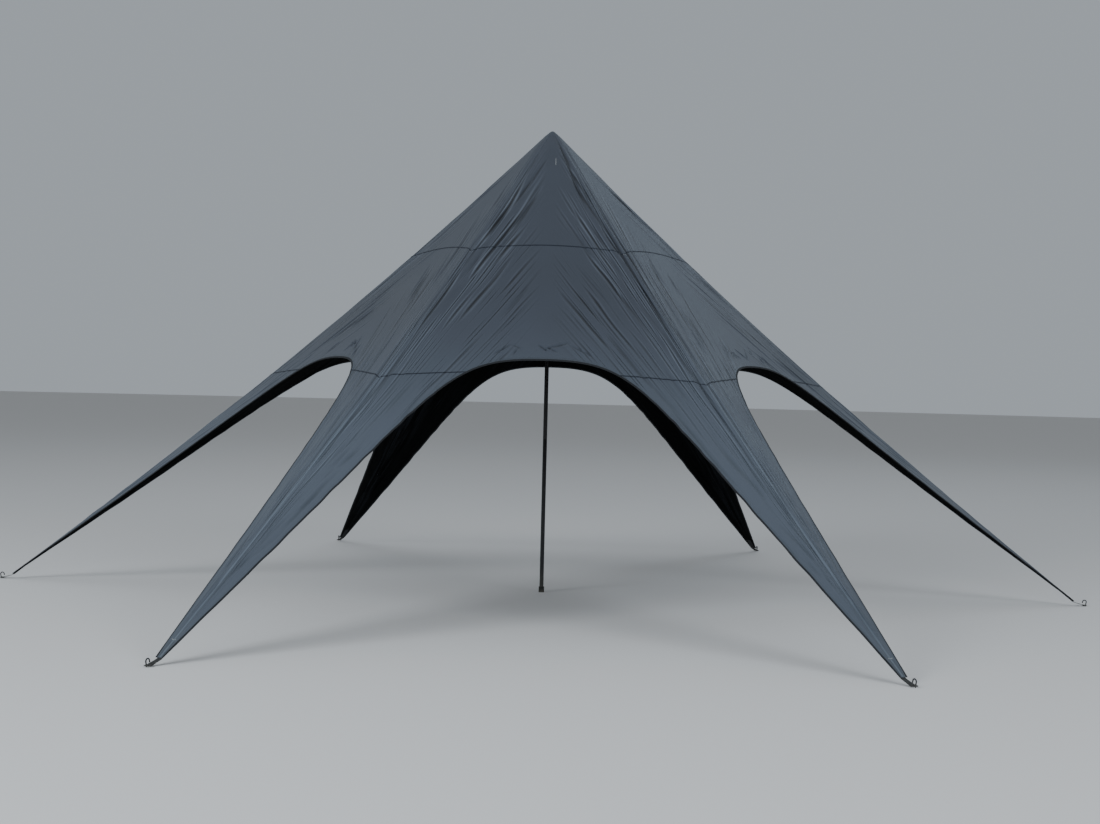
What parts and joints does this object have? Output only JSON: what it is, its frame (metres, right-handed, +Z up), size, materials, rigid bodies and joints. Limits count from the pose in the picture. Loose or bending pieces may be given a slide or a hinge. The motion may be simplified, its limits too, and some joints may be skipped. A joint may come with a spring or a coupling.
{
  "type": "star tent",
  "caption": "Black star-shaped canopy on one centre pole, with arched sides and corner legs drawn down to hooked ground pegs.",
  "frame": {"origin": "on the ground under the middle of the centre pole", "axes": "+Z up along the pole; +X towards corner 1, the others every 60 degrees; the picture's camera looks along about +Y"},
  "size_m": [8.5162, 7.3818, 3.6],
  "materials": {
    "canopy_cloth": "coated polyester, dark grey-black with a soft sheen",
    "webbing": "matt woven webbing, black",
    "pole_steel": "black powder coat, satin",
    "fitting_steel": "dark coated steel, worn",
    "foot_rubber": "matt rubber, black",
    "head_plastic": "moulded plastic, black"
  },
  "bodies": {
    "root": {"peak_patch": "canopy_cloth", "upper_panel_1": "canopy_cloth", "middle_panel_1": "canopy_cloth", "leg_1_left": "canopy_cloth", "leg_1_right": "canopy_cloth", "corner_strap_1": "webbing", "corner_ring_1": "fitting_steel", "corner_peg_1": "fitting_steel", "upper_panel_2": "canopy_cloth", "middle_panel_2": "canopy_cloth", "leg_2_left": "canopy_cloth", "leg_2_right": "canopy_cloth", "corner_strap_2": "webbing", "corner_ring_2": "fitting_steel", "corner_peg_2": "fitting_steel", "upper_panel_3": "canopy_cloth", "middle_panel_3": "canopy_cloth", "leg_3_left": "canopy_cloth", "leg_3_right": "canopy_cloth", "corner_strap_3": "webbing", "corner_ring_3": "fitting_steel", "corner_peg_3": "fitting_steel", "upper_panel_4": "canopy_cloth", "middle_panel_4": "canopy_cloth", "leg_4_left": "canopy_cloth", "leg_4_right": "canopy_cloth", "corner_strap_4": "webbing", "corner_ring_4": "fitting_steel", "corner_peg_4": "fitting_steel", "upper_panel_5": "canopy_cloth", "middle_panel_5": "canopy_cloth", "leg_5_left": "canopy_cloth", "leg_5_right": "canopy_cloth", "corner_strap_5": "webbing", "corner_ring_5": "fitting_steel", "corner_peg_5": "fitting_steel", "upper_panel_6": "canopy_cloth", "middle_panel_6": "canopy_cloth", "leg_6_left": "canopy_cloth", "leg_6_right": "canopy_cloth", "corner_strap_6": "webbing", "corner_ring_6": "fitting_steel", "corner_peg_6": "fitting_steel", "pole_lower": "pole_steel", "pole_middle": "pole_steel", "pole_upper": "pole_steel", "pole_foot": "foot_rubber", "pole_head": "head_plastic"}
  },
  "joints": []
}
